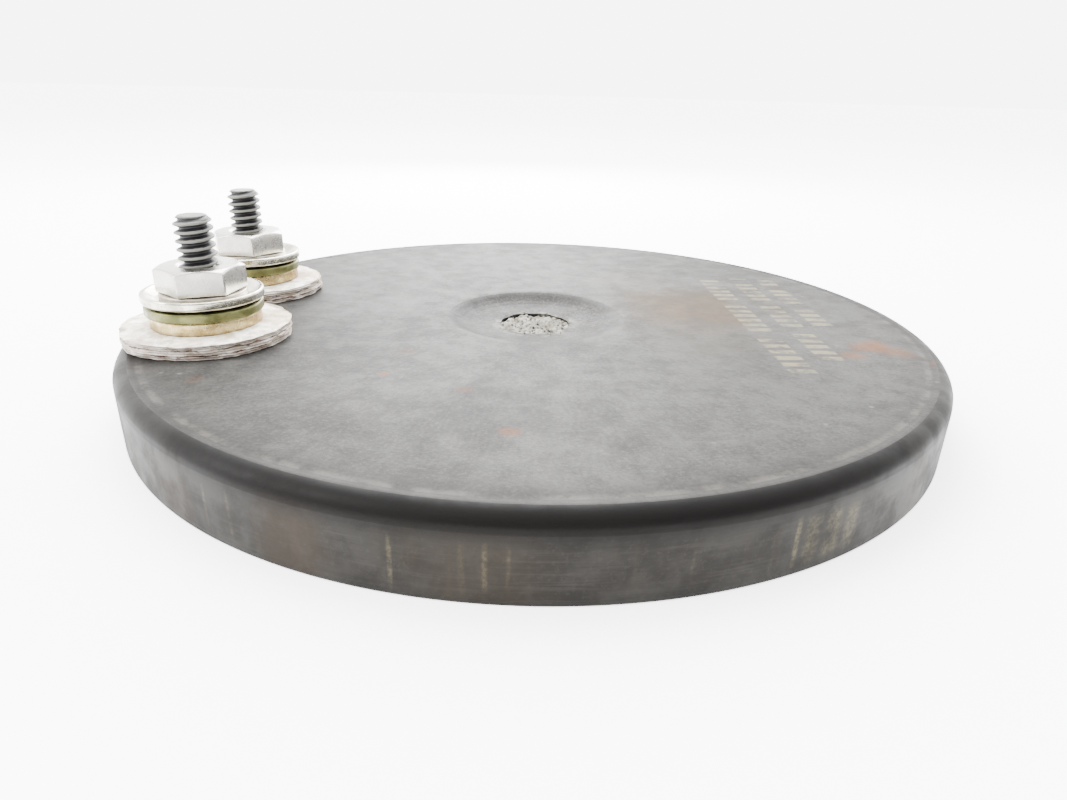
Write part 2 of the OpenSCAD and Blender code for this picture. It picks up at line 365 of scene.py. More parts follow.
# Blots on the top face: centre x, centre y, radius, strength
RUST_BLOTS = (
    (-13.6, -18.7, 0.60, 0.75), (-2.7, -30.0, 0.95, 0.55), (-6.6, -22.0, 0.8, 0.30),
    (-12.5, -12.8, 1.1, 0.20), (33.4, -9.6, 2.4, 0.70), (30.4, -12.6, 1.4, 0.50),
    (35.2, -11.2, 2.0, 0.55), (37.4, -14.6, 1.1, 0.75), (-29.0, -20.5, 1.0, 0.12),
    (1.3, 13.6, 0.7, 0.30),
)
DARK_BLOTS = (
    (-36.0, -15.0, 4.0, 0.55), (-30.5, -21.5, 3.4, 0.30), (-24.0, -16.0, 3.0, 0.22),
    (-21.0, -6.0, 3.5, 0.18), (26.0, -25.0, 2.2, 0.25), (14.0, -22.0, 1.4, 0.3),
    (36.0, 4.0, 4.0, 0.2), (10.0, 22.0, 4.0, 0.2), (-24.5, 4.0, 4.0, 0.30), (-20.0, 12.0, 3.0, 0.2),
    (-30.0, -28.0, 4.5, 0.30), (6.0, -17.0, 4.0, 0.15), (-4.0, -25.0, 5.0, 0.15),
)
# Scratches on the side wall: direction in degrees, half width, strength
SIDE_SCRATCHES = (
    (-104.3, 0.30, 0.75), (-98.0, 0.40, 0.25), (-96.0, 0.32, 0.55), (-94.0, 0.26, 0.40),
    (-125.0, 0.30, 0.40), (-121.5, 0.28, 0.50), (-67.3, 0.40, 1.0), (-65.4, 1.20, 0.85),
    (-62.8, 1.40, 1.0), (-60.2, 1.20, 0.80), (-70.0, 0.26, 0.25), (-78.0, 0.24, 0.22),
    (20.0, 0.40, 0.40), (48.0, 0.50, 0.30), (97.0, 0.50, 0.40), (124.0, 0.35, 0.35),
    (158.0, 0.40, 0.40),
)
# Rust-brown clouds on the side wall: direction in degrees, radius, strength
SIDE_BROWN = ((-114.0, 3.2, 0.4), (-96.5, 4.5, 0.25), (-48.0, 2.4, 0.5), (-131.0, 3.0, 0.3),
              (60.0, 5.0, 0.4), (140.0, 4.5, 0.4))
# Rows of plain dashes: centre x, half width, lowest y, highest y
DASH_ROWS = ((23.6, 1.25, -19.5, 19.0), (27.7, 1.15, -16.0, 18.0), (31.2, 1.1, -5.0, 18.0))
DASH_PITCH = 1.75
# Dashes and gap together in a group of the first row, one fewer in each next row
LONGEST_GROUP = 7


def rim_point(direction):
    """Point on the side wall in a direction given in degrees, seen from above."""
    angle = math.radians(direction)
    return (CASE_R * math.cos(angle), CASE_R * math.sin(angle))


def dash_mask(g):
    """Rows of short plain etched dashes, with a gap after every few, worn in places."""
    rows = []
    for index, (centre, half, low, high) in enumerate(DASH_ROWS):
        across = g.math("ABSOLUTE", g.math("SUBTRACT", g.x, centre))
        inside = g.step(across, half + 0.12, half - 0.12)
        run = g.product(g.step(g.y, low - 0.1, low + 0.1), g.step(g.y, high + 0.1, high - 0.1))
        beat = g.math("FRACT", g.math("DIVIDE", g.math("SUBTRACT", g.y, low), DASH_PITCH))
        dash = g.step(g.math("ABSOLUTE", g.math("SUBTRACT", beat, 0.5)), 0.33, 0.24)
        per_group = LONGEST_GROUP - index
        group = g.math("FRACT", g.math("DIVIDE", g.math("SUBTRACT", g.y, low),
                                       DASH_PITCH * per_group))
        gap = g.step(group, 1.0 / per_group - 0.02, 1.0 / per_group + 0.02)
        rows.append(g.product(inside, run, dash, gap))
    worn = g.step(g.noise(0.55, 5, 0.7), 0.34, 0.6)
    return g.product(g.largest(*rows), worn)


def strongest(g, blots, ragged, noise):
    """The strongest of several blots at each point."""
    layers = []
    for x, y, radius, strength in blots:
        layers.append(g.product(g.spot((x, y), radius, ragged, noise), strength))
    return g.largest(*layers)


def heat_stain(g, drawn, mottle):
    """Ragged brown stain beside the dimple."""
    warp = g.math("MULTIPLY_ADD", drawn, 9.0, -4.5)
    ragged = g.math("MULTIPLY_ADD", mottle, 8.0, -4.0)
    sx = g.math("ADD", g.x, warp)
    sy = g.math("SUBTRACT", g.math("ADD", g.y, ragged), warp)
    stain = g.product(g.step(sx, 8.0, 14.5), g.step(sx, 24.2, 21.6),
                      g.step(sy, -8.0, 0.5), g.step(sy, 14.5, 7.0))
    return g.product(stain, g.step(mottle, 0.25, 0.6, 0.55, 1.0))


def dress_dimple(g, color, reach, grain, mottle):
    """Worn rim of the dimple, painted shade on its far wall and on the left lip of the hole,
    mottled brown patch and pale lip of the hole.
    """
    ring = g.product(g.step(reach, DIMPLE_R - 0.05, DIMPLE_R + 0.25),
                     g.step(reach, DIMPLE_R + 1.2, DIMPLE_R + 0.4))
    color = g.mix(g.product(ring, g.step(mottle, 0.38, 0.6), 0.35), color, (0.16, 0.15, 0.135))
    # Painted shade on the dimple's wall, stronger at the back
    wall = g.product(g.step(reach, DIMPLE_R + 0.35, DIMPLE_R - 0.7),
                     g.step(reach, DIMPLE_R - 5.4, DIMPLE_R - 1.4),
                     g.step(mottle, 0.30, 0.60, 1.0, 0.65))
    color = g.mix(g.product(wall, g.step(g.y, -6.0, 4.0, 0.10, 0.48)), color,
                  (0.030, 0.029, 0.030))
    inside = g.step(reach, DIMPLE_R - 0.6, DIMPLE_R - 1.4)
    bowl = g.product(inside, g.step(grain, 0.58, 0.46), g.step(g.x, -7.0, 4.0, 0.30, 0.75))
    color = g.mix(bowl, color, (0.030, 0.024, 0.020))
    patch = g.product(g.spot((5.6, 2.6), 2.6, 0.7, mottle), g.step(grain, 0.56, 0.46))
    color = g.mix(g.product(patch, inside, 0.95), color, (0.010, 0.007, 0.005))
    # Painted shade on the lip of the hole, on its left side
    edge = g.product(g.step(reach, HOLE_R + 0.5, HOLE_R + 0.15), g.step(g.x, 2.5, -1.0))
    color = g.mix(g.product(edge, 0.6), color, (0.018, 0.014, 0.016))
    lip = g.product(g.step(reach, HOLE_R + 1.3, HOLE_R + 0.3), g.step(mottle, 0.46, 0.58))
    return g.mix(g.product(lip, 0.8), color, (0.30, 0.29, 0.24))


def case_steel():
    """Top face: dark oxidised sheet steel with stains, rust, worn lines and plain dashes."""
    g = Graph("case_steel")
    reach = g.reach((0, 0))
    cloud = g.noise(0.055, 5, 0.6, distortion=0.8)
    mottle = g.noise(0.42, 6, 0.66)
    grain = g.noise(3.4, 5, 0.75)
    drawn = g.noise(0.30, 6, 0.66, place=g.stretched(0.4, 1.5, 1), distortion=0.5)
    tone = g.math("MULTIPLY_ADD", mottle, 0.55, g.math("MULTIPLY", cloud, 0.45))
    color = g.mix(g.step(tone, 0.38, 0.62), (0.060, 0.058, 0.055), (0.098, 0.096, 0.089))
    color = g.mix(g.product(g.step(grain, 0.50, 0.66), 0.45), color, (0.165, 0.160, 0.148))
    color = g.mix(g.product(g.step(grain, 0.49, 0.36), 0.50), color, (0.034, 0.032, 0.031))
    color = g.mix(g.product(g.step(drawn, 0.56, 0.74), 0.40), color, (0.165, 0.160, 0.148))
    color = g.mix(g.product(heat_stain(g, drawn, mottle), 0.92), color, (0.088, 0.048, 0.012))
    for centre, radius, share in (((17.0, -8.5), 7.0, 0.35), ((12.5, 16.0), 6.5, 0.30),
                                  ((25.0, 6.0), 10.0, 0.25)):
        haze = g.spot(centre, radius, 0.5, mottle)
        color = g.mix(g.product(haze, share), color, (0.078, 0.058, 0.034))
    dark = strongest(g, DARK_BLOTS, 0.6, mottle)
    color = g.mix(dark, color, (0.024, 0.024, 0.026))
    rust = strongest(g, RUST_BLOTS, 0.9, mottle)
    color = g.mix(g.product(rust, g.step(grain, 0.30, 0.55, 0.6, 1.0)), color,
                  (0.23, 0.080, 0.020))
    dashes = dash_mask(g)
    color = g.mix(g.product(dashes, 0.68), color, (0.36, 0.31, 0.18))
    color = dress_dimple(g, color, reach, grain, mottle)
    # Painted shade: the face darkens towards its rounded edge, with a thin lighter line just inside
    # it
    outer = g.step(g.math("MULTIPLY_ADD", mottle, 1.6, reach), CASE_R - 4.5, CASE_R - 0.6)
    color = g.mix(g.product(outer, 0.62), color, (0.040, 0.036, 0.034))
    worn = g.product(g.step(reach, CASE_R - 2.7, CASE_R - 2.3),
                     g.step(reach, CASE_R - 1.85, CASE_R - 2.1), g.step(mottle, 0.40, 0.60))
    color = g.mix(g.product(worn, 0.40), color, (0.20, 0.185, 0.16))
    # Few specks of pale dust near the rim
    specks = g.product(g.step(g.cells(0.30), 0.09, 0.02), g.step(cloud, 0.46, 0.56),
                       g.step(reach, CASE_R * 0.62, CASE_R * 0.85))
    color = g.mix(g.product(specks, 0.35), color, (0.40, 0.39, 0.36))
    rough = g.step(tone, 0.36, 0.64, 0.50, 0.38)
    normal = g.bump(mottle, 0.06, 0.5)
    normal = g.bump(grain, 0.022, 0.8, normal)
    normal = g.bump(dashes, -0.03, 0.5, normal)
    return g.finish(g.shade(color, 0.40), rough, 0.0, normal, Specular_IOR_Level=0.03)


def side_steel(name, specular):
    """Edge or side wall: browner and darker, drawn round, with faint upright scratches."""
    g = Graph(name)
    mottle = g.noise(0.30, 5, 0.62)
    grain = g.noise(3.0, 4, 0.7)
    round_it = g.noise(1.0, 5, 0.65, place=g.stretched(0.16, 0.16, 3.2))
    upright = g.noise(0.8, 4, 0.6, place=g.stretched(1, 1, 0.10))
    color = g.mix(g.step(mottle, 0.36, 0.64), (0.022, 0.0200, 0.0180), (0.033, 0.0305, 0.0270))
    color = g.mix(g.product(g.step(round_it, 0.50, 0.70), 0.30), color, (0.055, 0.051, 0.046))
    color = g.mix(g.product(g.step(round_it, 0.46, 0.30), 0.30), color, (0.012, 0.0115, 0.011))
    color = g.mix(g.product(g.step(grain, 0.52, 0.68), 0.30), color, (0.052, 0.048, 0.043))
    color = g.mix(g.product(g.step(upright, 0.54, 0.70), 0.25), color, (0.048, 0.038, 0.025))
    for direction, radius, strength in SIDE_BROWN:
        cloud = g.spot(rim_point(direction), radius, 0.6, mottle)
        color = g.mix(g.product(cloud, strength), color, (0.048, 0.033, 0.020))
    scratches = []
    for direction, half, strength in SIDE_SCRATCHES:
        line = g.step(g.reach(rim_point(direction)), half * 0.8, half * 0.2)
        scratches.append(g.product(line, strength))
    run = g.product(g.step(g.z, 0.3, 1.6), g.step(g.z, CASE_TOP - 1.6, CASE_TOP - 3.0),
                    g.step(mottle, 0.30, 0.62), g.step(grain, 0.40, 0.60, 0.30, 1.0))
    color = g.mix(g.product(g.largest(*scratches), run, 0.75), color, (0.15, 0.126, 0.070))
    # Painted shade round the edge, nearly black in front, fading down the wall
    painted_edge_shade = g.step(g.math("MULTIPLY_ADD", mottle, 0.5, g.z), CASE_TOP - 2.7, CASE_TOP - 0.5)
    color = g.mix(g.product(painted_edge_shade, g.step(g.y, -14.0, -34.0, 0.45, 0.95)), color,
                  (0.0060, 0.0055, 0.0053))
    # Painted sheen: the edge is lighter away from the front
    painted_edge_sheen = g.product(g.step(g.math("MULTIPLY_ADD", mottle, 0.6, g.z), CASE_TOP - 1.3, CASE_TOP),
                       g.step(g.y, -32.0, -16.0))
    color = g.mix(g.product(painted_edge_sheen, 0.40), color, (0.072, 0.070, 0.066))
    # Painted shade at the foot of the wall, where it meets the floor
    foot = g.step(g.z, 0.5, 0.1)
    color = g.mix(g.product(foot, 0.5), color, (0.008, 0.0075, 0.007))
    normal = g.bump(round_it, 0.015, 0.4, g.bump(mottle, 0.04, 0.4))
    return g.finish(g.shade(color, 0.48), g.step(mottle, 0.35, 0.65, 0.58, 0.44), 0.0, normal,
                    Specular_IOR_Level=specular)


def base_steel():
    g = Graph("base_steel")
    reach = g.reach((0, 0))
    turning = g.noise(2.0, 5, 0.7, place=g.vector("MULTIPLY", g.place, (0.3, 0.3, 1)))
    cloud = g.noise(0.09, 5, 0.6)
    rings = g.math("SINE", g.math("MULTIPLY", reach, 9.0))
    color = g.mix(g.step(cloud, 0.35, 0.65), (0.12, 0.115, 0.11), (0.24, 0.22, 0.20))
    color = g.mix(g.product(g.step(turning, 0.5, 0.7), 0.4), color, (0.32, 0.30, 0.28))
    return g.finish(color, g.step(cloud, 0.3, 0.7, 0.38, 0.55), 0.8,
                    g.bump(rings, 0.006, 0.5, g.bump(turning, 0.01, 0.5)))


def refractory():
    g = Graph("refractory")
    grit = g.noise(2.2, 6, 0.75)
    blotch = g.noise(0.8, 3, 0.6)
    pits = g.step(g.cells(1.9), 0.46, 0.22)
    color = g.mix(g.step(blotch, 0.35, 0.65), (0.40, 0.375, 0.30), (0.66, 0.64, 0.56))
    color = g.mix(g.product(g.step(grit, 0.52, 0.66), 0.85), color, (0.075, 0.066, 0.050))
    color = g.mix(g.product(pits, g.step(blotch, 0.40, 0.50), 0.95), color, (0.012, 0.010, 0.007))
    return g.finish(g.shade(color, 0.45), 0.92, 0.0, g.bump(grit, 0.16, 1.0),
                    Specular_IOR_Level=0.15)


def mica():
    """Layered mica: flaky off-white face, edge with broken dark red-brown seams."""
    g = Graph("mica")
    low, high = node_box("mica_washer_front")[0][2], node_box("mica_washer_front")[1][2]
    flake = g.noise(0.9, 6, 0.68)
    layers = g.noise(0.9, 5, 0.62, place=g.stretched(0.35, 0.35, 4.5))
    flecks = g.noise(1.3, 5, 0.7, place=g.stretched(0.6, 0.6, 2.5))
    color = g.mix(g.step(flake, 0.36, 0.62), (0.52, 0.45, 0.34), (0.93, 0.89, 0.80))
    color = g.mix(g.product(g.step(flecks, 0.54, 0.66), 0.45), color, (0.42, 0.30, 0.20))
    color = g.mix(g.product(g.step(layers, 0.50, 0.62), 0.60), color, (0.21, 0.15, 0.12))
    edge = g.largest(*[
        g.product(g.step(g.reach(stud_axis(side)), 7.0, 7.4),
                  g.step(g.reach(stud_axis(side)), 8.4, 8.3)) for side in SIDES
    ])
    level = g.math("ADD", g.z, g.math("MULTIPLY_ADD", flake, 0.8, -0.4))
    seam = None
    for share, width in ((0.28, 0.12), (0.60, 0.10)):
        centre = low + (high - low) * share
        line = g.step(g.math("ABSOLUTE", g.math("SUBTRACT", level, centre)), width, width * 0.3)
        seam = line if seam is None else g.math("MAXIMUM", seam, line)
    color = g.mix(g.product(edge, g.step(g.z, high - 0.05, high - 0.30), 0.55), color,
                  (0.27, 0.21, 0.18))
    seam = g.product(seam, edge, g.step(flecks, 0.42, 0.54))
    color = g.mix(g.product(seam, 0.92), color, (0.060, 0.018, 0.016))
    for side in SIDES:
        axis = stud_axis(side)
        stain = g.spot((axis[0] + 6.0, axis[1] + 2.0), 2.8, 0.6, flake)
        color = g.mix(g.product(stain, 0.55), color, (0.36, 0.22, 0.09))
        mark = g.spot((axis[0] - 6.9, axis[1] - 3.2), 0.8, 0.6, flake)
        color = g.mix(g.product(mark, 0.7), color, (0.08, 0.05, 0.04))
    return g.finish(color, g.step(flake, 0.3, 0.7, 0.5, 0.72), 0.0,
                    g.bump(flake, 0.20, 1.0, g.bump(layers, 0.14, 1.0)),
                    Specular_IOR_Level=0.4)


def ceramic():
    g = Graph("ceramic")
    grit = g.noise(4.0, 4, 0.6)
    color = g.mix(g.step(grit, 0.4, 0.7), (0.86, 0.84, 0.78), (0.74, 0.70, 0.62))
    return g.finish(color, 0.7, 0.0, g.bump(grit, 0.02, 0.5))


def plated(name, dull, bright, streak_color, streak, rough_low, rough_high, metallic=1.0,
           stained=0.35, relief=1.0):
    """Plated steel: cloudy plate, fine turned or milled lines, stains in patches."""
    g = Graph(name)
    cloud = g.noise(0.5, 5, 0.6)
    stain = g.noise(1.3, 6, 0.7)
    lines = g.noise(9.0, 3, 0.6, place=g.stretched(*streak))
    color = g.mix(g.step(cloud, 0.35, 0.65), dull, bright)
    color = g.mix(g.product(g.step(stain, 0.54, 0.72), stained), color, streak_color)
    color = g.mix(g.product(g.step(lines, 0.52, 0.66), 0.25), color, dull)
    rough = g.step(stain, 0.35, 0.7, rough_low, rough_high)
    normal = g.bump(stain, 0.02 * relief, 0.4)
    return g.finish(color, rough, metallic, g.bump(lines, 0.012 * relief, 0.6, normal))


def black_thread():
    """Black oxide thread with its crests worn to bare grey steel."""
    g = Graph("black_steel")
    reach = g.math("MINIMUM", g.reach(stud_axis("front")), g.reach(stud_axis("rear")))
    wear = g.noise(1.6, 5, 0.7)
    crest = g.step(g.math("MULTIPLY_ADD", wear, 0.30, reach), STUD_R - 0.02, STUD_R + 0.10)
    end = g.step(g.z, node_box("stud_front")[1][2] - 0.25, node_box("stud_front")[1][2] - 0.02)
    color = g.mix(g.step(wear, 0.3, 0.7), (0.005, 0.005, 0.006), (0.014, 0.013, 0.014))
    color = g.mix(g.product(crest, 0.90), color, (0.150, 0.148, 0.130))
    color = g.mix(g.product(end, g.step(wear, 0.25, 0.6), 0.75), color, (0.20, 0.20, 0.185))
    return g.finish(color, g.step(wear, 0.3, 0.7, 0.45, 0.60), 0.0,
                    g.bump(g.noise(5.0, 5, 0.7), 0.02, 0.5), Specular_IOR_Level=0.25)


def floor_paper():
    """White paper lit from below as well as from above, as on a light table."""
    g = Graph("floor_paper")
    fibre = g.noise(0.02, 3, 0.5)
    color = g.mix(fibre, (0.88, 0.88, 0.88), (0.91, 0.91, 0.91))
    return g.finish(color, 0.9, 0.0, None, Specular_IOR_Level=0.1, Emission_Strength=FLOOR_GLOW,
                    Emission_Color=(1.0, 1.0, 1.0, 1.0))


STEEL = case_steel()
SIDE_STEEL = side_steel("side_steel", 0.070)
EDGE_STEEL = side_steel("edge_steel", 0.048)
BASE = base_steel()
REFRACTORY = refractory()
MICA = mica()
CERAMIC = ceramic()
THREAD = black_thread()
BRASSY = plated("brassy_plate", (0.26, 0.185, 0.072), (0.53, 0.43, 0.23), (0.12, 0.075, 0.03),
                (0.1, 0.1, 2.0), 0.22, 0.42, stained=0.5)
TARNISHED = plated("tarnished_plate", (0.070, 0.072, 0.020), (0.165, 0.162, 0.062),
                   (0.030, 0.028, 0.012), (0.1, 0.1, 2.0), 0.30, 0.5, 0.7)
NICKEL = plated("nickel_plate", (0.30, 0.28, 0.22), (0.64, 0.62, 0.53), (0.12, 0.10, 0.065),
                (0.1, 0.1, 2.0), 0.14, 0.30, stained=0.5)
SPACER = plated("spacer_plate", (0.26, 0.23, 0.19), (0.44, 0.40, 0.34), (0.16, 0.12, 0.09),
                (0.1, 0.1, 2.0), 0.3, 0.5)
NUT_PLATE = plated("nut_plate", (0.37, 0.355, 0.325), (0.44, 0.43, 0.40), (0.26, 0.24, 0.20),
                   (1.0, 1.0, 0.08), 0.26, 0.32, stained=0.06, relief=0.08)
WIRE = plated("resistance_wire", (0.10, 0.09, 0.085), (0.20, 0.18, 0.16), (0.05, 0.045, 0.04),
              (0.5, 0.5, 0.5), 0.4, 0.6)
LEAD = plated("lead_strip", (0.28, 0.26, 0.22), (0.44, 0.42, 0.37), (0.14, 0.12, 0.09),
              (0.1, 1.0, 0.1), 0.35, 0.5)


# ---------------------------------------------------------------- pieces

def place_piece(obj, body, slot, *nodes):
    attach(obj, body)
    if nodes:
        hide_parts(*nodes)
    return obj


def shell_height(reach):
    """Height of the top face's upper skin at a distance from the centre, dimple included."""
    distances, depths = zip(*DIMPLE_PROFILE)
    return CASE_TOP - np.interp(reach, distances, depths)


def punch_hole(shell, centre):
    """Round hole through the top face, where a stud and its bushing come out."""
    count = PUNCH_SEGMENTS
    ends = np.array([(SHELL_HOLE_R, CASE_TOP - 2.0), (SHELL_HOLE_R, CASE_TOP + 1.0)])
    points = lathe_points(ends, count, centre)
    walls = [(k, (k + 1) % count, count + (k + 1) % count, count + k) for k in range(count)]
    caps = [tuple(range(count - 1, -1, -1)), tuple(range(count, 2 * count))]
    mesh = bpy.data.meshes.new("punch")
    mesh.from_pydata((points * UNIT).tolist(), [], walls + caps)
    punch = bpy.data.objects.new("punch", mesh)
    bpy.context.scene.collection.objects.link(punch)
    cut = shell.modifiers.new("hole", "BOOLEAN")
    cut.operation = "DIFFERENCE"
    cut.object = punch
    cut.solver = "EXACT"
    bpy.context.view_layer.objects.active = shell
    bpy.ops.object.modifier_apply(modifier=cut.name)
    bpy.data.objects.remove(punch)


def build_shell():
    """Drawn case with its dimple, a shallow step inside the rounded edge, and small dents."""
    inset = 0.03
    outer = CASE_R - inset
    top = CASE_TOP
    upper = [(r, shell_height(r)) for r in np.linspace(HOLE_R, DIMPLE_R + 0.4, 60)]
    upper += [(r, top) for r in np.linspace(DIMPLE_R + 0.9, outer - EDGE_R - 1.4, 40)]
    # Shallow step just inside the rim
    upper += [(outer - EDGE_R - 0.9, top - 0.03), (outer - EDGE_R - 0.5, top - 0.05)]
    upper += [(outer - EDGE_R - 0.2, top - 0.01)]
    centre = (outer - EDGE_R, top - EDGE_R)
    arc = [(centre[0] + EDGE_R * math.sin(a), centre[1] + EDGE_R * math.cos(a))
           for a in np.linspace(0, math.pi / 2, 16)]
    wall = [(outer, z) for z in np.linspace(top - EDGE_R - 0.4, 0.25, 14)]
    foot = [(outer - 0.03, 0.10), (outer - 0.12, 0.01), (outer - 0.30, 0.0)]
    lip = [(outer - SHEET_T + 0.05, 0.0), (CASE_R - SHEET_T, 0.06)]
    inner = CASE_R - SHEET_T
    inside = [(inner, z) for z in np.linspace(0.6, top - 1.3, 6)]
    under = top - SHEET_T
    inside += [(inner - 0.05, under - 0.1), (inner - 0.2, under)]
    inside += [(r, under) for r in np.linspace(inner - 2, DIMPLE_R + 1.0, 12)]
    inside += [(r, shell_height(r) - SHEET_T) for r in np.linspace(DIMPLE_R, HOLE_R + 0.1, 16)]
    mouth = [(HOLE_R, top - DIMPLE_DEPTH - SHEET_T + 0.1)]
    mouth += [(HOLE_R, top - DIMPLE_DEPTH - 0.1)]
    outline = np.array(upper + arc + wall + foot + lip + inside + mouth)

    def dents(points):
        reach = np.hypot(points[:, 0], points[:, 1])
        on_top = (points[:, 2] > top - 0.4) & (reach > DIMPLE_R) & (reach < outer - 1.5)
        wave = wave_noise(points * [1, 1, 0], 0.025, 3, SEED)
        points[:, 2] -= on_top * (0.02 + 0.02 * wave)
        near_hole = np.clip(1 - abs(reach - HOLE_R) / 0.5, 0, 1)
        points[:, 2] += near_hole * 0.05 * wave_noise(points, 0.35, 3, SEED + 1)
        # The wall bows in a little in places, so it stays inside the case's true radius
        on_wall = (reach > outer - 0.05)
        bow = on_wall * (0.03 + 0.03 * wave_noise(points * [1, 1, 0.3], 0.02, 3, SEED + 2))
        points[:, 0] *= 1 - np.maximum(bow, 0) / CASE_R
        points[:, 1] *= 1 - np.maximum(bow, 0) / CASE_R
        return points

    shell = lathe("shell_case", outline, CASE_SEGMENTS, (0, 0), STEEL, dents, 50)
    for side in SIDES:
        punch_hole(shell, stud_axis(side))
    shell.data.materials.append(SIDE_STEEL)
    shell.data.materials.append(EDGE_STEEL)
    for polygon in shell.data.polygons:
        middle = polygon.center / UNIT
        if math.hypot(middle.x, middle.y) > CASE_R - EDGE_R + 0.10:
            polygon.material_index = 2 if middle.z > CASE_TOP - EDGE_R else 1
    return place_piece(shell, "root", "case_steel", "shell")


def build_base():
    """Flat working face with softened edges."""
    radius = node_box("base_plate")[1][0]
    eye = 0.4
    corners = [(eye, 0.0), (radius, 0.0), (radius, SHEET_T), (eye, SHEET_T)]
    outline = spread(rounded(corners, 0.2), 3.0)
    outline[:, 1] = np.clip(outline[:, 1], 0, SHEET_T)
    points = lathe_points(outline, BASE_SEGMENTS)
    faces = grid_faces(len(outline), BASE_SEGMENTS)
    plate = make_object("working_face", points, faces, BASE)
    # The small eye left in the middle is closed
    mesh = plate.data
    shape = bmesh.new()
    shape.from_mesh(mesh)
    inner = [f for f in shape.faces
             if all(math.hypot(v.co.x, v.co.y) < (eye + 0.01) * UNIT for v in f.verts)]
    bmesh.ops.delete(shape, geom=inner, context="FACES")
    edges = [e for e in shape.edges if e.is_boundary]
    bmesh.ops.holes_fill(shape, edges=edges, sides=0)
    bmesh.ops.recalc_face_normals(shape, faces=shape.faces)
    shape.to_mesh(mesh)
    shape.free()
    return place_piece(plate, "root", "base_steel", "base_plate")


def thread_radius(angle, z, start_z, end_z):
    """Radius of a right-hand V thread, cut back to a cone at its end."""
    phase = np.mod(z / THREAD_PITCH - angle / (2 * math.pi), 1.0)
    # Height of the ridge, cut flat at the valley, 0, and at the crest, 1
    ridge = 1 - np.abs(phase - 0.5) * 2
    ridge = np.clip((ridge - 0.16) / 0.64, 0, 1)
    ridge = ridge * ridge * (3 - 2 * ridge) * 0.35 + ridge * 0.65
    minor = STUD_R - THREAD_DEPTH
    radius = minor + (STUD_R - 0.01 - minor) * ridge
    cone = STUD_R - 0.50 + (end_z - z) * 0.95
    shank = np.clip((start_z - z) / 0.4, 0, 1)
    radius = radius * (1 - shank) + (minor + 0.25) * shank
    return np.minimum(radius, np.maximum(cone, 0.9))


def build_stud(side):
    """Terminal stud: flat head inside the case, thread up to a faced and chamfered end."""
    axis = stud_axis(side)
    low, high = node_box(f"stud_{side}")
    bottom, end = low[2], high[2]
    head_r = (high[0] - low[0]) / 2
    head_top = bottom + HEAD_T
    start = head_top + SHANK_LENGTH
    columns = STUD_SEGMENTS
    angle = np.linspace(0, 2 * math.pi, columns, endpoint=False)

    def ring(radius, z):
        return np.stack([radius * np.cos(angle), radius * np.sin(angle), np.full(columns, z)], -1)

    head = ((0.5, bottom), (head_r - 0.15, bottom), (head_r, bottom + 0.12),
            (head_r, head_top - 0.12), (head_r - 0.1, head_top), (STUD_R, head_top))
    rows = [ring(radius, z) for radius, z in head]
    for z in np.arange(head_top + 0.05, end - 0.004, THREAD_PITCH / 22):
        rows.append(ring(thread_radius(angle, z, start, end), z))
    rim = thread_radius(angle, end, start, end)
    for share, drop in ((0.97, 0.0), (0.7, 0.02), (0.35, 0.015), (0.12, 0.02)):
        rows.append(ring(rim * share, end - drop))
    count = len(rows)
    points = np.concatenate(rows)
    points[:, :2] += axis
    faces = [f for f in grid_faces(count, columns) if max(f) - min(f) < 3 * columns]
    faces.append(tuple(range(columns - 1, -1, -1)))
    faces.append(tuple(range((count - 1) * columns, count * columns)))
    stud = make_object(f"thread_stud_{side}", points, faces, THREAD, 60)
    return place_piece(stud, "root", "black_steel", f"stud_{side}")


def build_nut(side):
    """Hexagon nut, corners turned off on top, with softened edges and a countersunk bore."""
    axis = stud_axis(side)
    low, high = node_box(f"hex_nut_{side}")
    height = high[2] - low[2]
    bore = STUD_R + 0.05
    columns = NUT_SEGMENTS
    angle = np.linspace(0, 2 * math.pi, columns, endpoint=False)
    turn = math.radians(NUT_TURN[side])
    local = np.mod(angle - turn, math.pi / 3) - math.pi / 6
    hexagon = NUT_FLAT / np.cos(local)
    worn_corner = NUT_FLAT / math.cos(math.pi / 6) * 0.988
    hexagon = np.minimum(hexagon, worn_corner)
    ring_r = NUT_FLAT - 0.10
    slope = math.tan(math.radians(NUT_CHAMFER_ANGLE))

    def row(radius, z):
        radius = np.broadcast_to(radius, columns)
        z = np.broadcast_to(z, columns)
        return np.stack([axis[0] + radius * np.cos(angle), axis[1] + radius * np.sin(angle),
                         low[2] + z], -1)

    shoulder = height - (hexagon - ring_r) * slope
    rows = [row(bore, 0.0), row(bore + 0.25, 0.0), row(hexagon - 0.25, 0.0),
            row(hexagon - 0.08, 0.02), row(hexagon - 0.01, 0.10)]
    for share in np.linspace(0.1, 0.9, 6):
        rows.append(row(hexagon, 0.10 + (shoulder - 0.16) * share))
    rows += [row(hexagon - 0.01, shoulder - 0.07), row(hexagon - 0.06, shoulder)]
    for share in (0.25, 0.5, 0.75):
        radius = hexagon - 0.06 + (ring_r - hexagon + 0.06) * share
        rows.append(row(radius, height - (radius - ring_r) * slope))
    rows += [row(ring_r, height - 0.015), row(ring_r - 0.12, height), row(bore + 0.7, height),
             row(bore + 0.32, height), row(bore + 0.05, height - 0.25), row(bore, height - 0.45),
             row(bore, height * 0.5)]
    nut = make_object(f"nut_{side}", np.concatenate(rows), grid_faces(len(rows), columns),
                      NUT_PLATE, 22)
    return place_piece(nut, f"nut_{side}", "nut_plate", f"hex_nut_{side}")


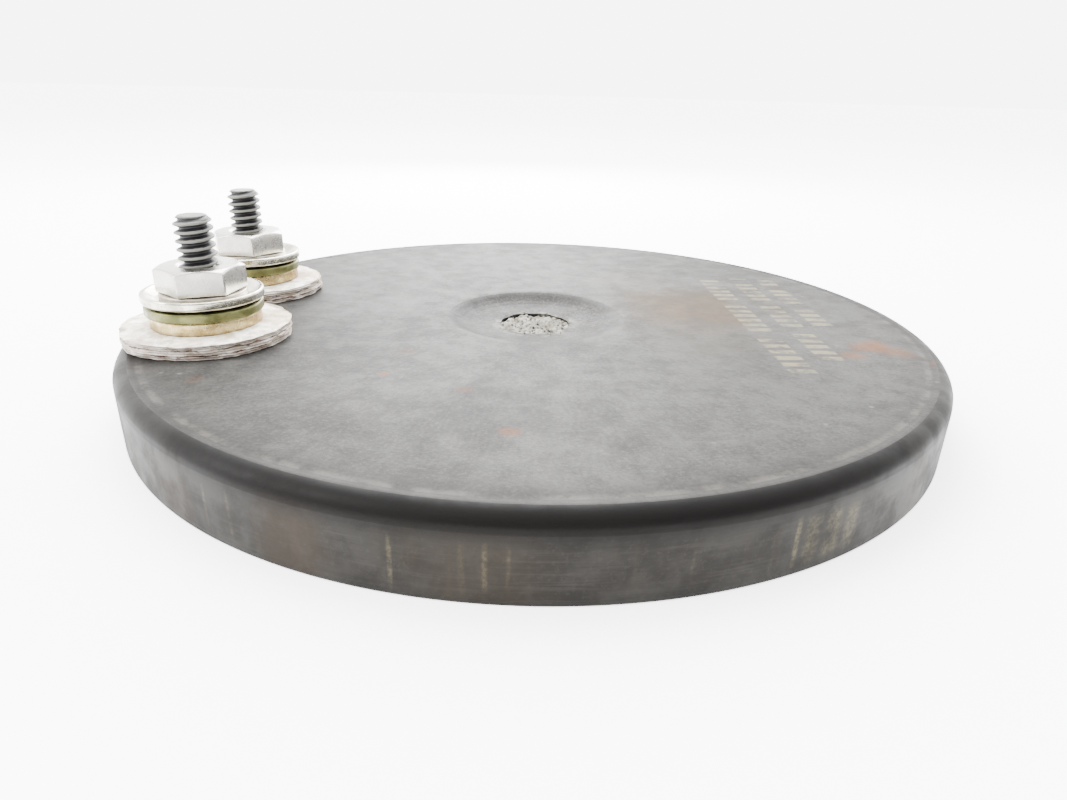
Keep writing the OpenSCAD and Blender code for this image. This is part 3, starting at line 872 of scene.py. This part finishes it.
def flat_washer(name, node, body, material, slot, bore, soft, wobble, seed):
    """Stamped washer: rounded upper rim, sharper lower rim, slightly out of true."""
    outer, low, high = ring_of(node)
    centre = (np.array(node_box(node)[0][:2]) + np.array(node_box(node)[1][:2])) / 2
    outline = spread(rounded([(bore, low, 0.1), (outer - 0.02, low, soft * 0.6),
                              (outer - 0.02, high, soft), (bore, high, 0.1)], soft), 0.35)

    def shape(points):
        offset = points[:, :2] - centre
        reach = np.hypot(offset[:, 0], offset[:, 1])
        amount = wobble * (wave_noise(points, 0.10, 3, seed) - 0.7) * (reach > bore + 1)
        points[:, :2] += offset / reach[:, None] * np.minimum(amount, 0)[:, None]
        upper = np.clip((points[:, 2] - low) / (high - low), 0, 1)
        worn = 0.02 * (1 + wave_noise(points, 0.15, 2, seed + 1))
        points[:, 2] -= upper * worn * (reach > bore + 0.3)
        return points

    washer = lathe(name, outline, WASHER_SEGMENTS, centre, material, shape, 40)
    return place_piece(washer, body, slot, node)


def build_cup(side):
    """Dished washer with a rim that turns up round the spacer."""
    node = f"cup_washer_{side}"
    outer, low, high = ring_of(node)
    spacer_r = ring_of(f"spacer_washer_{side}")[0]
    bore = STUD_R + 0.08
    outline = spread(rounded([
        (bore, low, 0.05), (outer - 1.1, low, 0.3), (outer - 0.12, low + 0.28, 0.25),
        (outer - 0.02, low + 0.45, 0.2), (outer - 0.02, high - 0.04, 0.18),
        (outer - 0.42, high - 0.01, 0.18), (spacer_r + 0.2, low + CUP_SHEET_T, 0.3),
        (bore, low + CUP_SHEET_T, 0.05)], 0.15, 5), 0.3)
    washer = lathe(f"cup_{side}", outline, CUP_SEGMENTS, stud_axis(side), NICKEL, None, 40)
    return place_piece(washer, f"clamp_{side}", "nickel_plate", node)


def build_mica(side):
    """Thick mica washer: split layers that end at ragged, slightly different radii."""
    node = f"mica_washer_{side}"
    outer, low, high = ring_of(node)
    axis = stud_axis(side)
    bore = STUD_R + 0.1
    layers = 7
    thickness = (high - low) / layers
    seed = SEED + 20 + SIDES.index(side) * 50
    gen = np.random.default_rng(seed)
    outline = [(bore, low), (bore + 2.5, low), (outer - 1.5, low)]
    for layer in range(layers):
        z0 = low + layer * thickness
        back = gen.uniform(0.05, 0.22)
        for share, dip in ((0.08, 0.10), (0.25, 0.02), (0.5, 0.0), (0.75, 0.02), (0.92, 0.10)):
            outline.append((outer - back - dip, z0 + thickness * share))
    outline += [(outer - 0.5, high - 0.02), (outer - 1.0, high)]
    outline += [(r, high) for r in np.linspace(outer - 1.5, bore, 10)]
    outline = np.array(outline)

    def shape(points):
        offset = points[:, :2] - axis
        reach = np.hypot(offset[:, 0], offset[:, 1])
        stretched = points * [1, 1, 3.5]
        ragged = 0.15 * wave_noise(stretched, 0.28, 4, seed + 1)
        ragged += 0.07 * wave_noise(stretched, 0.06, 2, seed + 2)
        amount = np.clip(ragged - 0.12, -0.45, 0.05) * (reach > outer - 0.7)
        points[:, :2] += offset / reach[:, None] * amount[:, None]
        on_top = (points[:, 2] > high - 0.1) & (reach > bore + 0.1)
        flakes = np.sign(wave_noise(points, 0.09, 3, seed + 3) - 0.25) * 0.03
        relief = flakes - 0.03 + 0.02 * wave_noise(points, 0.3, 3, seed)
        points[:, 2] += on_top * np.minimum(relief, 0)
        rim = np.clip((reach - outer + 1.2) / 1.2, 0, 1)
        points[:, 2] -= on_top * rim * 0.10 * (1 + wave_noise(points, 0.12, 3, seed + 4))
        return points

    washer = lathe(f"mica_{side}", outline, MICA_SEGMENTS, axis, MICA, shape, 30)
    return place_piece(washer, "root", "mica", node)


def build_crumbs():
    """Rough granular face of the refractory in the hole of the dimple, and loose grains."""
    floor_z = CASE_TOP - DIMPLE_DEPTH
    base_z = floor_z - 0.5
    radius = HOLE_R - 0.06
    rings = 34
    columns = 120
    points = [(0.0, 0.0, base_z)]
    for ring in range(1, rings + 1):
        for k in range(columns):
            a = 2 * math.pi * k / columns
            points.append((radius * ring / rings * math.cos(a), radius * ring / rings * math.sin(a),
                           base_z))
    points = np.array(points)
    height = 0.20 * wave_noise(points, 0.45, 4, SEED + 5)
    height += 0.20 * wave_noise(points, 1.3, 2, SEED + 6)
    reach = np.hypot(points[:, 0], points[:, 1]) / radius
    points[:, 2] += 0.22 + height + 0.12 * (1 - reach)
    faces = [(0, 1 + k, 1 + (k + 1) % columns) for k in range(columns)]
    for ring in range(rings - 1):
        a = 1 + ring * columns
        for k in range(columns):
            m = (k + 1) % columns
            faces.append((a + k, a + columns + k, a + columns + m, a + m))
    last = 1 + (rings - 1) * columns
    rim = [last + k for k in range(columns)]
    skirt = len(points)
    lower = points[rim].copy()
    lower[:, 2] = base_z - 0.3
    points = np.concatenate([points, lower])
    for k in range(columns):
        m = (k + 1) % columns
        faces.append((rim[k], skirt + k, skirt + m, rim[m]))
    faces.append(tuple(range(skirt + columns - 1, skirt - 1, -1)))
    plug = make_object("refractory_plug", points, faces, REFRACTORY, 180)
    place_piece(plug, "root", "refractory")

    gen = np.random.default_rng(SEED + 9)
    grain_points = []
    grain_faces = []
    for _ in range(LOOSE_GRAINS):
        a = gen.uniform(0, 2 * math.pi)
        on_rim = gen.uniform() < 0.22
        if on_rim:
            r = gen.uniform(HOLE_R + 0.05, HOLE_R + 0.55)
            size = gen.uniform(0.10, 0.20)
            z = floor_z + size * 0.6
        else:
            r = radius * gen.uniform() ** 0.5 * 0.93
            size = gen.uniform(0.16, 0.42)
            z = floor_z - 0.22 + gen.uniform(-0.1, 0.1)
        add_grain(gen, (r * math.cos(a), r * math.sin(a), z), size, grain_points, grain_faces)
    grains = make_object("refractory_grains", np.array(grain_points), grain_faces, REFRACTORY, 50)
    place_piece(grains, "root", "refractory")


def add_grain(gen, centre, size, points, faces):
    """Appends one rough pebble, a squashed and jittered ball, to the lists."""
    start = len(points)
    columns, rows = 7, 5
    squash = gen.uniform(0.55, 1.0, size=3)
    points.append(np.array(centre) + [0, 0, -size / 2 * squash[2]])
    for i in range(1, rows):
        lat = math.pi * i / rows - math.pi / 2
        for k in range(columns):
            lon = 2 * math.pi * k / columns + i * 0.4
            bumpy = 1 + gen.uniform(-0.22, 0.22)
            v = np.array([math.cos(lat) * math.cos(lon), math.cos(lat) * math.sin(lon),
                          math.sin(lat)])
            points.append(np.array(centre) + v * squash * size / 2 * bumpy)
    points.append(np.array(centre) + [0, 0, size / 2 * squash[2]])
    end = len(points) - 1
    for k in range(columns):
        m = (k + 1) % columns
        faces.append((start, start + 1 + m, start + 1 + k))
        for i in range(rows - 2):
            a = start + 1 + i * columns
            faces.append((a + k, a + m, a + columns + m, a + columns + k))
        a = start + 1 + (rows - 2) * columns
        faces.append((a + k, a + m, end))


def dress_cad_nodes():
    """Materials for the CAD nodes that stay as they are."""
    looks = {"refractory_bed": REFRACTORY, "refractory_cover": REFRACTORY,
             "resistance_coil": WIRE}
    for side in SIDES:
        looks[f"coil_lead_{side}"] = LEAD
        looks[f"bushing_{side}"] = CERAMIC
        looks[f"inner_mica_{side}"] = MICA
    for node, material in looks.items():
        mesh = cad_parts[node].data
        mesh.materials.clear()
        mesh.materials.append(material)


# ---------------------------------------------------------------- studio

def build_stage():
    """Wide flat white floor, under a surround that build_light makes."""
    columns = FLOOR_SEGMENTS
    level = -0.02
    points = [(0.0, 0.0, level)]
    for r in (150.0, 400.0, 1200.0, 4000.0):
        for k in range(columns):
            angle = 2 * math.pi * k / columns
            points.append((r * math.cos(angle), r * math.sin(angle), level))
    faces = [(0, 1 + k, 1 + (k + 1) % columns) for k in range(columns)]
    for ring in range(3):
        a = 1 + ring * columns
        faces += [(a + k, a + columns + k, a + columns + (k + 1) % columns, a + (k + 1) % columns)
                  for k in range(columns)]
    make_object("studio_floor", np.array(points), faces, floor_paper(), 60)


def area_light(name, place, target, size, power):
    data = bpy.data.lights.new(name, "AREA")
    data.shape = "DISK"
    data.size = size * UNIT
    data.energy = power
    lamp = bpy.data.objects.new(name, data)
    lamp.location = Vector(place) * UNIT
    aim = Vector(target) * UNIT - lamp.location
    lamp.rotation_euler = aim.to_track_quat("-Z", "Y").to_euler()
    bpy.context.scene.collection.objects.link(lamp)


def build_light():
    """White surround, brightest above and behind, dimmer in front; three soft lamps."""
    world = bpy.data.worlds.new("studio")
    world.use_nodes = True
    tree = world.node_tree
    background = tree.nodes["Background"]
    background.inputs[0].default_value = (1.0, 1.0, 1.0, 1.0)
    coords = tree.nodes.new("ShaderNodeTexCoord")
    dot = tree.nodes.new("ShaderNodeVectorMath")
    dot.operation = "DOT_PRODUCT"
    dot.inputs[1].default_value = (-0.30, 0.75, 0.55)
    tree.links.new(coords.outputs["Generated"], dot.inputs[0])
    level = tree.nodes.new("ShaderNodeMapRange")
    level.interpolation_type = "SMOOTHSTEP"
    for value, socket in zip((-0.6, 0.55, WORLD_DIM, WORLD_BRIGHT), list(level.inputs)[1:5]):
        socket.default_value = value
    tree.links.new(dot.outputs["Value"], level.inputs[0])
    tree.links.new(level.outputs[0], background.inputs[1])
    bpy.context.scene.world = world
    for lamp in LAMPS:
        area_light(*lamp)


def build_camera():
    """Camera at the viewing angle. The object stays level on the floor."""
    data = bpy.data.cameras.new("camera")
    data.sensor_width = SENSOR
    data.lens = SENSOR * FOCAL_SHARE
    data.clip_start = 0.005
    data.clip_end = 10
    camera = bpy.data.objects.new("camera", data)
    turn = Matrix.Rotation(math.radians(CAMERA_TURN), 4, "Z")
    back = Matrix.Translation((0, -CAMERA_BACK * CASE_R * UNIT, CAMERA_UP * CASE_R * UNIT))
    yaw = Matrix.Rotation(math.radians(-CAMERA_YAW), 4, "Z")
    tilt = Matrix.Rotation(math.radians(90 - CAMERA_PITCH), 4, "X")
    roll = Matrix.Rotation(math.radians(CAMERA_ROLL), 4, "Z")
    camera.matrix_world = turn @ back @ yaw @ tilt @ roll
    bpy.context.scene.collection.objects.link(camera)
    bpy.context.scene.camera = camera


build_camera()
build_light()
build_stage()
build_shell()
build_base()
build_crumbs()
for terminal in SIDES:
    seed = SEED + 100 * (1 + SIDES.index(terminal))
    build_stud(terminal)
    build_mica(terminal)
    flat_washer(f"plain_{terminal}", f"plain_washer_{terminal}", "root", BRASSY,
                "brassy_plate", STUD_R + 0.2, 0.16, 0.10, seed)
    flat_washer(f"lead_{terminal}", f"lead_washer_{terminal}", "root", TARNISHED,
                "tarnished_plate", STUD_R + 0.2, 0.22, 0.08, seed + 10)
    build_cup(terminal)
    flat_washer(f"spacer_{terminal}", f"spacer_washer_{terminal}", f"clamp_{terminal}", SPACER,
                "spacer_plate", STUD_R + 0.08, 0.2, 0.05, seed + 20)
    build_nut(terminal)
dress_cad_nodes()
